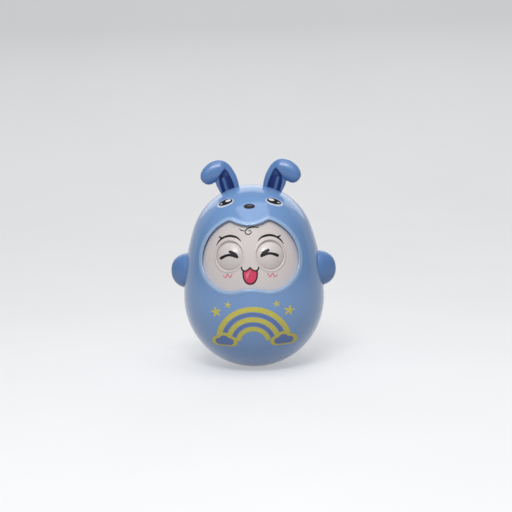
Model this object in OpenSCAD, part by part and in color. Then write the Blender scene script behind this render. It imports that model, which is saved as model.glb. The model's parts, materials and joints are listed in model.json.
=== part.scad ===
// Roly-poly baby toy: a weighted egg-shaped body in two gloss shells, with lop ears, turning arms,
// rolling eyes behind a white face plate, and a chime inside.
// Millimetres. Z is up, the face looks along -Y, and the origin is the middle of the foot.

/* [Body] */
// Radius of the round bottom and of the girth
body_r = 50; // [48:1:53]
// Height of the body from its foot to its crown, without the ears
body_h = 130; // [128:1:133]
// How much smaller the crown's radius is than the girth's
crown_taper = 6; // [5:0.5:7]
// Thickness of the shell walls
wall = 2.2; // [2:0.1:2.5]
// Radius of the small flat under the body
foot_r = 5; // [4:0.5:6]

/* [Face] */
// Width of the face opening
face_w = 67; // [65:1:69]
// Depth of the widest part of the opening below the crown
face_drop = 49.5; // [48.5:0.5:50.5]
// Radius of the cheeks, the lower corners of the opening
cheek_r = 19.3; // [18.8:0.1:19.8]
// Radius of the temples, the upper corners of the opening
temple_r = 30.5; // [29.5:0.5:31.5]
// How far the middle of the chin rises above the cheeks
chin_rise = 1.8; // [1.5:0.1:2.1]
// How far the middle of the fringe dips below the round of the temples
fringe_dip = 5.4; // [4.8:0.1:6]
// Width of the bead round the opening
bead_w = 2; // [1.5:0.25:2.5]
// How far the bead stands out from the shell
bead_h = 0.7; // [0.4:0.1:1]
// Thickness of the face plate
plate_t = 2; // [1.8:0.1:2.2]

/* [Eyes] */
// Distance between the middles of the two eye windows
eye_spacing = 28.6; // [28:0.2:29.2]
// Height of the eye windows above the widest part of the face
eye_rise = 4.7; // [4:0.1:5.4]
// Radius of the eyeballs
eye_r = 15; // [14.6:0.1:15.4]
// How far the eyeballs bulge through the face plate
eye_bulge = 1.9; // [1.7:0.1:2.1]
// Radius of the eye windows at the front of the plate
window_r = 10.6; // [10.4:0.1:10.8]
// Width of the raised lip round each window
lip_w = 0.9; // [0.7:0.1:1.3]
// How far the lip stands out from the plate
lip_h = 0.5; // [0.3:0.1:0.7]
// Radius of the eye axle
axle_r = 1.5; // [1.3:0.1:1.7]

/* [Ears and arms] */
// Distance of each ear's root from the middle
ear_x = 15.6; // [15:0.2:16.4]
// Size of the ears, as a share of their usual size
ear_size = 1; // [0.92:0.02:1.06]
// Depth of the arms' pegs below the widest part of the face
arm_drop = 11; // [10:0.5:12]
// Radius of the arms where they meet the body
arm_r = 12.6; // [12:0.2:13.2]
// How far the arms stand out beyond the body's girth
arm_reach = 8.8; // [7.5:0.1:10]

/* [Weight and chime] */
// Height of the shelf's underside above the foot
shelf_z = 20; // [19:0.5:21]
// Radius of the iron weight
weight_r = 20; // [18.5:0.5:21]
// How far the weight sits behind the middle, to balance the face and the eyes
weight_back = 4.3; // [3:0.1:5.5]
// Radius of the ring of chime rods
chime_r = 15.5; // [15:0.25:16.5]
// Radius of a chime rod
rod_r = 1.6; // [1.3:0.1:1.8]
// Length of the longest chime rod
rod_l = 26; // [24:0.5:26.5]
// Radius of the clapper's ball
ball_r = 5; // [4.4:0.2:5.4]

/* [Hidden] */
$fn = 64;

// Clearances: a press, a running fit, a loose fit, and room between pieces that pass each other
snug = 0.02;
fit = 0.05;
slack = 0.15;
gap = 0.3;

// Colours
shell_blue = [0.43, 0.62, 0.85];
deep_blue = [0.30, 0.45, 0.70];
face_white = [0.95, 0.93, 0.93];
inner_white = [0.88, 0.88, 0.86];
steel = [0.75, 0.76, 0.78];
iron = [0.32, 0.32, 0.34];

// Egg: a bowl, a flank and a crown, each tangent to the next
far = 2 * body_r;
crown_r = body_r - crown_taper;
bowl_z = sqrt(body_r * body_r - foot_r * foot_r);
rise = body_h - bowl_z;
crown_z = body_h - crown_r;
flank_r = (rise * rise + body_r * body_r - 2 * rise * crown_r) / (2 * crown_taper);
flank_x = body_r - flank_r;
flank_lean = atan2(crown_z - bowl_z, -flank_x);

function join_z(inset) = bowl_z + (flank_r - inset) * sin(flank_lean);
function arc_x(r, dz) = sqrt(r * r - dz * dz);
function egg_r(z, inset = 0) =
    z < bowl_z ? arc_x(body_r - inset, z - bowl_z) :
    z < join_z(inset) ? flank_x + arc_x(flank_r - inset, z - bowl_z) :
    arc_x(crown_r - inset, z - crown_z);
function skin_y(x, z, inset = 0) = -arc_x(egg_r(z, inset), x);

// Face outline: arcs for the chin, cheek, temple, peak and fringe of one half, and the same mirrored
face_z = body_h - face_drop;
cheek_x = face_w / 2 - cheek_r;
temple_x = face_w / 2 - temple_r;
chin_drop = cheek_r - chin_rise;
chin_r = (cheek_x * cheek_x + chin_drop * chin_drop - cheek_r * cheek_r) / (2 * chin_rise);
chin_z = face_z - chin_drop - chin_r;
chin_turn = atan2(face_z - chin_z, cheek_x);
fringe_r = 26;
fringe_z = face_z + temple_r - fringe_dip + fringe_r;
peak_r = 4;
peak_ring = temple_r - peak_r;
fringe_ring = fringe_r + peak_r;
peak_reach = norm([temple_x, fringe_z - face_z]);
peak_along = (peak_ring * peak_ring - fringe_ring * fringe_ring + peak_reach * peak_reach) / (2 * peak_reach);
peak_across = arc_x(peak_ring, peak_along);
peak_dir = [-temple_x, fringe_z - face_z] / peak_reach;
peak = [temple_x, face_z] + peak_along * peak_dir + peak_across * [peak_dir.y, -peak_dir.x];
temple_turn = atan2(peak.y - face_z, peak.x - temple_x);
fringe_turn = atan2(peak.y - fringe_z, peak.x);

function arc(middle, r, from, to, steps) =
    [for (i = [0 : steps]) let (a = from + (to - from) * i / steps) middle + r * [cos(a), sin(a)]];
function face_half(grow) = concat(
    arc([0, chin_z], chin_r - grow, 90, chin_turn, 5),
    arc([cheek_x, face_z], cheek_r + grow, chin_turn - 180, 0, 24),
    arc([temple_x, face_z], temple_r + grow, 0, temple_turn, 18),
    arc(peak, peak_r + grow, temple_turn, fringe_turn + 180, 5),
    arc([0, fringe_z], fringe_r - grow, fringe_turn, -90, 7)
);

// Eyes: the ball's middle lies behind the window, square to the plate
plate_inset = wall + slack;
window_z = face_z + eye_rise;
window = [eye_spacing / 2, skin_y(eye_spacing / 2, window_z, plate_inset), window_z];
window_pitch = asin((window.z - bowl_z) / (flank_r - plate_inset));
window_yaw = atan2(window.x, -window.y);
window_dir = [cos(window_pitch) * sin(window_yaw), -cos(window_pitch) * cos(window_yaw), sin(window_pitch)];
bevel_slope = 0.625;
bevel_out = 1;
eye = window - (eye_r - eye_bulge) * window_dir;
eye_clear = 0.35;
eye_trim = 1.7;
eye_wall = 2;
hub_wall = 1.8;
hang_room = 2.3;
eye_outer = eye_r - eye_trim;
eye_inner = hang_room - eye.x;

// Eye axle, its bracket and the counterweight that hangs between the eyes
side_play = 0.5;
bearing_wall = 1.5;
bearing_r = axle_r + bearing_wall;
bearing_t = 1.8;
bearing_in = eye.x + eye_outer + side_play;
bearing_out = bearing_in + bearing_t;
clip_play = 0.2;
clip_t = 0.7;
clip_lip = 0.8;
clip_r = axle_r + clip_lip;
axle_end = 0.4;
axle_l = bearing_out + clip_play + clip_t + axle_end;
bracket_clear = 1;
bracket_t = 2.2;
bracket_rim = 1;
bracket_bar = 6;
bracket_leg = 4.5;
bracket_y = eye.y + eye_r + bracket_clear;
hanger_w = 2.4;
hanger_d = 3;
hanger_hub = 3.4;
slug_r = 3.8;
slug_l = 12;
slug_clear = 0.4;
slug_drop = eye_r + slug_r + slug_clear;

// Screws: heads, cross recesses and the blind ends of their pilot holes
screw_r = 1.5;
small_screw_r = screw_r - gap;
head_h = 1.8;
head_root = 0.5;
recess_w = 0.7;
recess_deep = 1;
recess_share = 0.6;
pilot_end = 1;
shell_head_r = 2.9;
face_screw_l = 6.5;
face_head_r = 3.2;
bracket_screw_l = 9;
bracket_head_r = 2.6;
weight_screw_l = 12.8;
weight_head_r = 2.8;

// Posts and tabs that hold the face plate, and pillars that hold the eye bracket
post_r = 2.4;
tab_r = 4.4;
tab_reach = 5;
tab_deep = 2.5;
plate_lap = 2.5;
temple_tab = 42;
cheek_tab = 48;
temple_tab_at = [temple_x, face_z] + (temple_r + tab_reach) * [cos(temple_tab), sin(temple_tab)];
cheek_tab_at = [cheek_x, face_z] + (cheek_r + tab_reach) * [cos(cheek_tab), -sin(cheek_tab)];
pillar_r = 2.6;
brow_pillar_x = 18.5;
brow_pillar_rise = 22.1;
cheek_pillar_x = 22;
cheek_pillar_drop = 16.5;
brow_pillar = [brow_pillar_x, face_z + brow_pillar_rise];
cheek_pillar = [cheek_pillar_x, face_z - cheek_pillar_drop];

function both(spot) = [[-spot.x, spot.y], spot];
tab_spots = concat(both(temple_tab_at), both(cheek_tab_at));
pillar_spots = concat(both(brow_pillar), both(cheek_pillar));
function tab_y(spot) = skin_y(spot.x, spot.y, plate_inset + plate_t) + tab_deep;

// Arms: a round base in a pocket, on a peg with an inner flange
arm_z = face_z - arm_drop;
pocket_r = arm_r + gap;
pocket_deep = 1.4;
pocket_x = egg_r(arm_z + pocket_r) - pocket_deep;
peg_r = 4;
peg_root = 1;
flange_r = 6.5;
flange_t = 2;
flange_x = pocket_x - wall - gap;
arm_in = pocket_x + gap;
arm_tip = body_r + arm_reach;

// Ears: a stem in a slot of the seam, square to the crown, with a foot that holds it
ear_tilt = asin(ear_x / crown_r);
ear_root_z = crown_z + arc_x(crown_r, ear_x);
stem_w = 9;
stem_d = 4.8;
stem_foot = [13, 7.2, 2];
stem_play = 1;
stem_root = 2;
stem_in = crown_r - wall - stem_foot.z - stem_play;
stem_out = crown_r + stem_root;

// Weight and shelf
shelf_t = 2.4;
shelf_top = shelf_z + shelf_t;
shelf_play = 0.5;
shelf_r = egg_r(shelf_z, wall) - shelf_play;
rib_w = 3.5;
rib_t = 1.6;
weight_clear = 1;
weight_screw_ring = 11.5;
weight_screw_spots = [
    for (a = [30, 150, 270]) [0, weight_back] + weight_screw_ring * [cos(a), sin(a)]
];

// Chime: rods in sockets round a clapper that swings both ways
frame_t = 2.4;
frame_top = shelf_top + frame_t;
frame_lip = 3;
chime_post_r = 2.4;
post_out = 7;
post_x = chime_r + post_out;
socket_wall = 1.4;
socket_h = 4;
socket_deep = 1.2;
rod_step = 2;
rod_foot = frame_top - socket_deep;
swing_h = 29.4;
swing_z = frame_top + swing_h;
link_l = 7;
link_w = 3.2;
cross_z = swing_z - link_l;
ball_clear = 2.2;
ball_z = frame_top + ball_clear + ball_r;
lug_x = 4;
lug_deep = 4;
lug_half = 2.8;
pin_r = 1.2;
knuckle_r = 2.6;
knuckle_l = 5.6;
fork_in = 2.5;
fork_t = 1.2;
fork_w = 3;
fork_drop = 6;
bridge_t = 2;
clapper_rod_r = 1.3;

// Screws that close the shells: bosses in the front half, deep wells in the rear half
boss_r = 3.2;
well_r = 3.6;
well_y = 10;
well_wall = 1.6;
well_floor = 2;
stem_clear = 7.3;
stem_side = 2.4;
post_clear = 4.9;
crown_screw = [ear_x + stem_side, crown_z + stem_in * cos(ear_tilt) - stem_clear];
flank_screw = [post_x + chime_post_r + boss_r + post_clear, (shelf_top + arm_z - pocket_r) / 2];
shell_screw_spots = concat(both(crown_screw), both(flank_screw));

// Seam: a tongue on the rear half in a rebate of the front half
tongue_l = 2;
tongue_play = 0.1;
tongue_trim = 0.2;
rebate_end = 0.2;

module rod_x(y, z, r, from, to) {
    translate([from, y, z]) rotate([0, 90, 0]) cylinder(r = r, h = to - from);
}

module rod_y(spot, r, from, to) {
    translate([spot.x, to, spot.y]) rotate([90, 0, 0]) cylinder(r = r, h = to - from);
}

module rod_z(spot, r, from, to) {
    translate([spot.x, spot.y, from]) cylinder(r = r, h = to - from);
}

module block(from, to) {
    translate(from) cube(to - from);
}

// A flat shape drawn in X and Z, carried from one Y to another
module along_y(from, to) {
    translate([0, to, 0]) rotate([90, 0, 0]) linear_extrude(to - from) children();
}

module both_sides() {
    children();
    mirror([1, 0, 0]) children();
}

module egg_profile(inset) {
    intersection() {
        translate([0, bowl_z]) circle(body_r - inset);
        square([far, bowl_z]);
    }
    intersection() {
        translate([flank_x, bowl_z]) circle(flank_r - inset);
        translate([0, bowl_z]) square([far, join_z(inset) - bowl_z]);
    }
    intersection() {
        translate([0, crown_z]) circle(crown_r - inset);
        translate([0, join_z(inset)]) square([far, far]);
    }
}

module wall_profile(outer, inner) {
    difference() {
        egg_profile(outer);
        egg_profile(inner);
    }
}

module egg_solid(inset) {
    rotate_extrude() egg_profile(inset);
}

module face_shape(grow) {
    half = face_half(grow);
    polygon(concat(half, [for (i = [len(half) - 1 : -1 : 0]) [-half[i].x, half[i].y]]));
}

// Half of the body wall, with the ribs that trap the shelf and the cups that the arms turn in
module half_wall() {
    rotate_extrude(angle = 180) wall_profile(0, wall);
    rotate_extrude(angle = 180) shelf_ribs();
    intersection() {
        both_sides() arm_cup();
        egg_solid(wall / 2);
    }
}

module shelf_ribs() {
    intersection() {
        union() {
            translate([shelf_r - rib_w, shelf_z - rib_t - slack]) square([far, rib_t]);
            translate([shelf_r - rib_w, shelf_top + slack]) square([far, rib_t]);
        }
        egg_profile(wall / 2);
    }
}

module arm_cup() {
    translate([0, 0, arm_z]) rotate([0, 90, 0]) rotate_extrude(angle = 180)
        translate([0, pocket_x - wall]) square([pocket_r + wall, far]);
}

// What both halves lose: the arm pockets, the peg bores and the ear slots
module seam_cuts() {
    both_sides() {
        rod_x(0, arm_z, pocket_r, pocket_x, far);
        rod_x(0, arm_z, peg_r + fit, pocket_x - far / 4, far);
        ear_frame() block(
            [-stem_w / 2 - slack, -stem_d / 2 - slack, stem_in],
            [stem_w / 2 + slack, stem_d / 2 + slack, crown_r + wall]
        );
    }
}

// A band along the seam, drawn straight back from it and clear of the arm cups
module seam_band(outer, inner, from, to, cup_clear) {
    difference() {
        along_y(from, to) both_sides() wall_profile(outer, inner);
        both_sides() rod_x(0, arm_z, pocket_r + wall + cup_clear, pocket_x - far / 4, far);
    }
}

module front_shell() {
    color(shell_blue) difference() {
        union() {
            mirror([0, 1, 0]) half_wall();
            bead();
            intersection() {
                union() {
                    for (p = shell_screw_spots) rod_y(p, boss_r, -far, 0);
                    for (p = tab_spots) rod_y(p, post_r, -far, tab_y(p) - slack);
                }
                egg_solid(wall / 2);
            }
        }
        along_y(-far, -wall) face_shape(0);
        seam_cuts();
        seam_band(wall / 2, wall + gap, -tongue_l - rebate_end, wall, gap);
        for (p = shell_screw_spots) rod_y(p, screw_r + fit, -well_y - pilot_end, wall);
        for (p = tab_spots) rod_y(p, small_screw_r + fit, tab_y(p) - face_screw_l - pilot_end, 0);
    }
}

// Raised band round the opening
module bead() {
    intersection() {
        rotate_extrude() wall_profile(-bead_h, wall / 2);
        along_y(-far, -wall) face_shape(bead_w);
    }
}

module rear_shell() {
    color(shell_blue) difference() {
        union() {
            half_wall();
            seam_band(wall / 2 + tongue_play, wall - tongue_trim, -tongue_l, wall, gap + tongue_play);
            intersection() {
                for (p = shell_screw_spots) {
                    rod_y(p, boss_r, 0, well_y);
                    rod_y(p, well_r + well_wall, well_y - well_floor, far);
                }
                egg_solid(wall / 2);
            }
        }
        seam_cuts();
        for (p = shell_screw_spots) {
            rod_y(p, well_r, well_y, far);
            rod_y(p, screw_r + slack, -wall, far);
        }
    }
}

// A cross-recessed screw, with its head on the plane Z = 0 and its shank below
module screw(r, length, head_r) {
    difference() {
        union() {
            translate([0, 0, -length]) cylinder(r = r, h = length + head_root);
            cylinder(r = head_r, h = head_h);
        }
        for (turn = [0, 90]) rotate([0, 0, turn]) block(
            [-head_r * recess_share, -recess_w / 2, head_h - recess_deep],
            [head_r * recess_share, recess_w / 2, head_h + recess_deep]
        );
    }
}

// The same screw driven towards the face, with its head on the plane at head_y
module screw_y(spot, head_y, r, length, head_r) {
    translate([spot.x, head_y, spot.y]) rotate([-90, 0, 0]) screw(r, length, head_r);
}

module shell_screws() {
    color(steel) for (p = shell_screw_spots) screw_y(p, well_y, screw_r, 2 * well_y, shell_head_r);
}

module face_plate() {
    color(face_white) difference() {
        union() {
            intersection() {
                rotate_extrude() wall_profile(plate_inset, plate_inset + plate_t);
                along_y(-far, -wall) union() {
                    face_shape(plate_lap);
                    for (p = tab_spots) translate(p) circle(tab_r);
                }
            }
            both_sides() window_lip();
            intersection() {
                union() {
                    for (p = tab_spots) rod_y(p, tab_r, -far, tab_y(p));
                    for (p = pillar_spots) rod_y(p, pillar_r, -far, bracket_y);
                }
                egg_solid(plate_inset + plate_t / 2);
            }
        }
        both_sides() eye_window();
        for (p = tab_spots) {
            rod_y(p, post_r + slack, -far, 0);
            rod_y(p, tab_r + gap, tab_y(p), 0);
        }
        for (p = pillar_spots) rod_y(p, small_screw_r + fit, bracket_y - bracket_screw_l, 0);
    }
}

// The right window's place: its middle at the front of the plate, with Z square to the plate
module window_frame() {
    translate(window) rotate([0, 0, window_yaw]) rotate([90 - window_pitch, 0, 0]) children();
}

// Raised ring round a window, following the curve of the plate
module window_lip() {
    intersection() {
        rotate_extrude() wall_profile(plate_inset - lip_h, plate_inset + plate_t / 2);
        window_frame() translate([0, 0, -eye_r]) cylinder(r = window_r + lip_w, h = 2 * eye_r);
    }
}

// The bevelled window, and the room that the eyeball rolls in
module eye_window() {
    window_frame() translate([0, 0, -plate_t]) cylinder(
        r1 = window_r - bevel_slope * plate_t,
        r2 = window_r + bevel_slope * bevel_out,
        h = plate_t + bevel_out
    );
    translate(eye) sphere(eye_r + eye_clear);
}

module face_screws() {
    color(steel) for (p = tab_spots) screw_y(p, tab_y(p), small_screw_r, face_screw_l, face_head_r);
}

// Yoke behind the eyes, with a bearing for each end of the axle
module eye_bracket() {
    top = brow_pillar.y + pillar_r + bracket_rim;
    foot = cheek_pillar.y - pillar_r - bracket_rim;
    leg_in = cheek_pillar.x - bracket_leg;
    color(inner_white) difference() {
        union() {
            along_y(bracket_y, bracket_y + bracket_t) difference() {
                translate([-bearing_out, foot]) square([2 * bearing_out, top - foot]);
                translate([-leg_in, foot - far]) square([2 * leg_in, top - foot - bracket_bar + far]);
            }
            both_sides() {
                rod_x(eye.y, eye.z, bearing_r, bearing_in, bearing_out);
                block(
                    [bearing_in, eye.y, eye.z - bearing_r],
                    [bearing_out, bracket_y + bracket_t / 2, eye.z + bearing_r]
                );
            }
        }
        rod_x(eye.y, eye.z, axle_r + fit, -far, far);
        for (p = pillar_spots) rod_y(p, screw_r, -far, 0);
    }
}

module eye_bracket_screws() {
    color(steel) for (p = pillar_spots)
        screw_y(p, bracket_y + bracket_t, small_screw_r, bracket_screw_l, bracket_head_r);
}

module eye_axle() {
    color(steel) rod_x(eye.y, eye.z, axle_r, -axle_l, axle_l);
}

module axle_clips() {
    color(steel) both_sides() difference() {
        rod_x(eye.y, eye.z, clip_r, bearing_out + clip_play, bearing_out + clip_play + clip_t);
        rod_x(eye.y, eye.z, axle_r + snug, 0, far);
    }
}

// An eyeball turned about the axle: a cup open towards the middle, with a hub
module eyeball() {
    translate(eye) rotate([0, 90, 0]) rotate_extrude() difference() {
        intersection() {
            circle(eye_r);
            translate([0, eye_inner]) square([far, eye_outer - eye_inner]);
        }
        intersection() {
            circle(eye_r - eye_wall);
            translate([axle_r + hub_wall, -far]) square([far, far + eye_outer - eye_wall]);
        }
        translate([0, -far]) square([axle_r + snug, 2 * far]);
    }
}

module eye_left() {
    color(face_white) mirror([1, 0, 0]) eyeball();
}

module eye_right() {
    color(face_white) eyeball();
}

module eye_counterweight() {
    color(iron) difference() {
        union() {
            rod_x(eye.y, eye.z, axle_r + hub_wall, -hanger_hub / 2, hanger_hub / 2);
            block(
                [-hanger_w / 2, eye.y - hanger_d / 2, eye.z - slug_drop],
                [hanger_w / 2, eye.y + hanger_d / 2, eye.z - axle_r - hub_wall / 2]
            );
            rod_x(eye.y, eye.z - slug_drop, slug_r, -slug_l / 2, slug_l / 2);
        }
        rod_x(eye.y, eye.z, axle_r + snug, -far, far);
    }
}

// The right ear's root: Z square to the crown
module ear_frame() {
    translate([0, 0, crown_z]) rotate([0, ear_tilt, 0]) children();
}

// A flattened ball at an offset from the ear's root
module ear_lobe(dx, dy, dz, rx, ry, rz) {
    translate(ear_size * [dx, dy, dz]) scale(ear_size * [rx, ry, rz]) sphere(1, $fn = 28);
}

module ear() {
    difference() {
        translate([ear_x, 0, ear_root_z]) {
            difference() {
                hull() {
                    ear_lobe(-0.2, 0, -4.2, 6.7, 4.2, 4);
                    ear_lobe(1.2, 0, 4.4, 8, 4.7, 5);
                    ear_lobe(4.9, 0, 13.4, 7.7, 4.6, 7.7);
                }
                hull() {
                    ear_lobe(-0.4, -5, -1, 3.8, 2.8, 4);
                    ear_lobe(1.2, -5.2, 4.8, 4.5, 2.9, 4);
                    ear_lobe(2.8, -5, 12, 2.4, 2.2, 2.2);
                }
            }
            hull() {
                ear_lobe(8.2, -1, 15.7, 5.4, 5.2, 5.4);
                ear_lobe(13, -1.2, 11.1, 7, 5.4, 7);
            }
        }
        translate([0, 0, crown_z]) sphere(crown_r + slack);
    }
    ear_frame() {
        block([-stem_w / 2, -stem_d / 2, stem_in + stem_foot.z / 2], [stem_w / 2, stem_d / 2, stem_out]);
        block(
            [-stem_foot.x / 2, -stem_foot.y / 2, stem_in],
            [stem_foot.x / 2, stem_foot.y / 2, stem_in + stem_foot.z]
        );
    }
}

module ear_left() {
    color(deep_blue) mirror([1, 0, 0]) ear();
}

module ear_right() {
    color(deep_blue) ear();
}

// Rings of the arm from its round base to its flattened tip
arm_rings = 9;
arm_sides = 36;
arm_bluntness = 2.2;
arm_flattening = 0.4;
function arm_height(u) = arm_r * pow(1 - pow(u, arm_bluntness), 1 / arm_bluntness);
function arm_flat(u) = 1 - arm_flattening * u * u * (3 - 2 * u);
function arm_points() = concat(
    [for (i = [0 : arm_rings - 1], k = [0 : arm_sides - 1])
        let (u = sin(90 * i / arm_rings), h = arm_height(u), a = 360 * k / arm_sides)
        [arm_in + (arm_tip - arm_in) * u, h * arm_flat(u) * cos(a), arm_z + h * sin(a)]],
    [[arm_tip, 0, arm_z]]
);
function arm_faces() = concat(
    [[for (k = [0 : arm_sides - 1]) k]],
    [for (i = [0 : arm_rings - 2], k = [0 : arm_sides - 1])
        let (a = i * arm_sides + k, b = i * arm_sides + (k + 1) % arm_sides)
        each [[a, a + arm_sides, b], [b, a + arm_sides, b + arm_sides]]],
    [for (k = [0 : arm_sides - 1])
        let (last = (arm_rings - 1) * arm_sides)
        [last + k, arm_rings * arm_sides, last + (k + 1) % arm_sides]]
);

module arm() {
    polyhedron(arm_points(), arm_faces());
    rod_x(0, arm_z, peg_r, flange_x - flange_t, arm_in + peg_root);
    rod_x(0, arm_z, flange_r, flange_x - flange_t, flange_x);
}

module arm_left() {
    color(deep_blue) mirror([1, 0, 0]) arm();
}

module arm_right() {
    color(deep_blue) arm();
}

module weight_shelf() {
    color(inner_white) difference() {
        rod_z([0, 0], shelf_r, shelf_z, shelf_top);
        for (p = weight_screw_spots) rod_z(p, screw_r + slack, 0, far);
    }
}

module base_weight() {
    color(iron) difference() {
        intersection() {
            rod_z([0, weight_back], weight_r, 0, shelf_z);
            translate([0, 0, bowl_z]) sphere(body_r - wall - weight_clear);
        }
        for (p = weight_screw_spots) rod_z(p, screw_r + fit, frame_top - weight_screw_l - pilot_end, far);
    }
}

module weight_screws() {
    color(steel) for (p = weight_screw_spots)
        translate([p.x, p.y, frame_top]) screw(screw_r, weight_screw_l, weight_head_r);
}

function chime_spot(i) = chime_r * [cos(90 * i), sin(90 * i)];

module chime_frame() {
    color(inner_white) difference() {
        union() {
            rod_z([0, 0], post_x + frame_lip, shelf_top, frame_top);
            for (i = [0 : 3]) rod_z(chime_spot(i), rod_r + socket_wall, shelf_top, frame_top + socket_h);
            both_sides() {
                rod_z([post_x, 0], chime_post_r, shelf_top, swing_z + lug_half);
                block([lug_x, -chime_post_r, swing_z - lug_half], [post_x, chime_post_r, swing_z + lug_half]);
            }
        }
        for (i = [0 : 3]) rod_z(chime_spot(i), rod_r + snug, rod_foot, far);
        for (p = weight_screw_spots) rod_z(p, screw_r + slack, 0, far);
        rod_x(0, swing_z, pin_r + snug, -lug_x - lug_deep, lug_x + lug_deep);
    }
}

module chime_rod(i) {
    color(steel) rod_z(chime_spot(i), rod_r, rod_foot, rod_foot + rod_l - rod_step * i);
}

module clapper_axle() {
    color(steel) rod_x(0, swing_z, pin_r, -lug_x - lug_deep, lug_x + lug_deep);
}

// Link between the two crossed pins
module clapper_swivel() {
    color(inner_white) difference() {
        union() {
            rod_x(0, swing_z, knuckle_r, -knuckle_l / 2, knuckle_l / 2);
            rod_y([0, cross_z], knuckle_r, -fork_in + gap, fork_in - gap);
            block([-link_w / 2, -link_w / 2, cross_z], [link_w / 2, link_w / 2, swing_z]);
        }
        rod_x(0, swing_z, pin_r + fit, -far, far);
        rod_y([0, cross_z], pin_r + fit, -far, far);
    }
}

module clapper_pin() {
    color(steel) rod_y([0, cross_z], pin_r, -fork_in - fork_t, fork_in + fork_t);
}

// Fork, rod and ball
module clapper() {
    bridge_z = cross_z - fork_drop;
    color(steel) difference() {
        union() {
            for (side = [-1, 1]) {
                from = side * (fork_in + fork_t / 2) - fork_t / 2;
                rod_y([0, cross_z], knuckle_r, from, from + fork_t);
                block([-fork_w / 2, from, bridge_z], [fork_w / 2, from + fork_t, cross_z]);
            }
            block(
                [-fork_w / 2, -fork_in - fork_t, bridge_z - bridge_t / 2],
                [fork_w / 2, fork_in + fork_t, bridge_z + bridge_t / 2]
            );
            rod_z([0, 0], clapper_rod_r, ball_z, bridge_z);
            translate([0, 0, ball_z]) sphere(ball_r);
        }
        rod_y([0, cross_z], pin_r + snug, -far, far);
    }
}

front_shell();
rear_shell();
shell_screws();
face_plate();
face_screws();
eye_bracket();
eye_bracket_screws();
eye_axle();
axle_clips();
eye_left();
eye_right();
eye_counterweight();
ear_left();
ear_right();
arm_left();
arm_right();
weight_shelf();
base_weight();
weight_screws();
chime_frame();
chime_rod(0);  // chime_rod_1
chime_rod(1);  // chime_rod_2
chime_rod(2);  // chime_rod_3
chime_rod(3);  // chime_rod_4
clapper_axle();
clapper_swivel();
clapper_pin();
clapper();
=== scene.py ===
import json
from math import asin, atan2, cos, degrees, hypot, pi, radians, sin, sqrt

import bmesh
import bpy
import numpy as np
from mathutils import Matrix, Vector


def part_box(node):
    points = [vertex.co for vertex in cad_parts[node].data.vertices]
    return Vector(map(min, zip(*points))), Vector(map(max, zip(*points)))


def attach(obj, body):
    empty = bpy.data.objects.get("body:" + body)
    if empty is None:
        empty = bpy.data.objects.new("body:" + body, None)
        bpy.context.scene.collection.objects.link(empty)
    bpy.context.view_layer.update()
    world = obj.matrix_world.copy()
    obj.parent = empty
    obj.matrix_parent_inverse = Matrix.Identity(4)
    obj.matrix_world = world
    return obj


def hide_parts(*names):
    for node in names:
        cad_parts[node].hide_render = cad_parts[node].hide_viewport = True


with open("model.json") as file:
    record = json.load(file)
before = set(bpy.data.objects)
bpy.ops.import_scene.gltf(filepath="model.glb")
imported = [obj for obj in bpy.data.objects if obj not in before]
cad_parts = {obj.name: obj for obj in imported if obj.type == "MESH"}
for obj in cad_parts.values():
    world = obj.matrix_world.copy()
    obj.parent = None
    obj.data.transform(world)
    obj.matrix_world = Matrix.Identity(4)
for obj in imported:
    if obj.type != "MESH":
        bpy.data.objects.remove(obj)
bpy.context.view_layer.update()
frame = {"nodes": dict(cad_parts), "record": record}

# Sizes are in millimetres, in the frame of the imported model: Z up, the face towards -Y
MM = 0.001
FRONT, REAR = -1, 1
LEFT, RIGHT = -1, 1
HAND = {LEFT: "left", RIGHT: "right"}
FAR = 1e9
TINY = 1e-12

# Body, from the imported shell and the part's driving sizes: a bowl, a flank and a crown
BODY_R = round(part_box("rear_shell")[1].x / MM, 2)
BODY_H = round(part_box("rear_shell")[1].z / MM, 2)
CROWN_TAPER = 6
CROWN_R = BODY_R - CROWN_TAPER
FOOT_R = 5
WALL = 2.2
BOWL_Z = sqrt(BODY_R ** 2 - FOOT_R ** 2)
RISE = BODY_H - BOWL_Z
CROWN_Z = BODY_H - CROWN_R
FLANK_R = (RISE ** 2 + BODY_R ** 2 - 2 * RISE * CROWN_R) / (2 * (BODY_R - CROWN_R))
FLANK_X = BODY_R - FLANK_R
FLANK_LEAN = atan2(CROWN_Z - BOWL_Z, -FLANK_X)
# Rays from the hub find the skin, and only those steeper than this can meet the foot
HUB = np.array([0.0, 0.0, 80.0])
FOOT_SLOPE = -0.2

# Face opening, and the face plate behind it
FACE_DROP = 49.5
FACE_Z = BODY_H - FACE_DROP
FACE_W = 67
CHEEK_R = 19.3
TEMPLE_R = 30.5
CHIN_RISE = 1.8
FRINGE_DIP = 5.4
FRINGE_R = 26
PEAK_R = 4
PLATE_PLAY = 0.15
PLATE_INSET = WALL + PLATE_PLAY
PLATE_T = 2
PLATE_LAP = 2.5

# Eyes
EYE_SPACING = 28.6
EYE_RISE = 4.7
EYE_R = 15
EYE_BULGE = 1.9
ROLL_PLAY = 0.3
AXLE_R = 1.5

# Arms and their pockets
ARM_DROP = 11
ARM_Z = FACE_Z - ARM_DROP
ARM_R = 12.6
ARM_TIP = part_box("arm_right")[1].x / MM
ARM_PLAY = 0.3
POCKET_R = ARM_R + ARM_PLAY
POCKET_SINK = 1.4


# Curves and outlines

def full_turn(count):
    return np.linspace(0, 2 * pi, count, endpoint=False)


def root(value):
    return np.sqrt(np.maximum(value, 0))


def as_points(*parts):
    return np.stack(np.broadcast_arrays(*parts), -1)


def fade(value, start, length):
    """Rises smoothly from 0 to 1 over a length."""
    t = np.clip((value - start) / length, 0, 1)
    return t * t * (3 - 2 * t)


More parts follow.
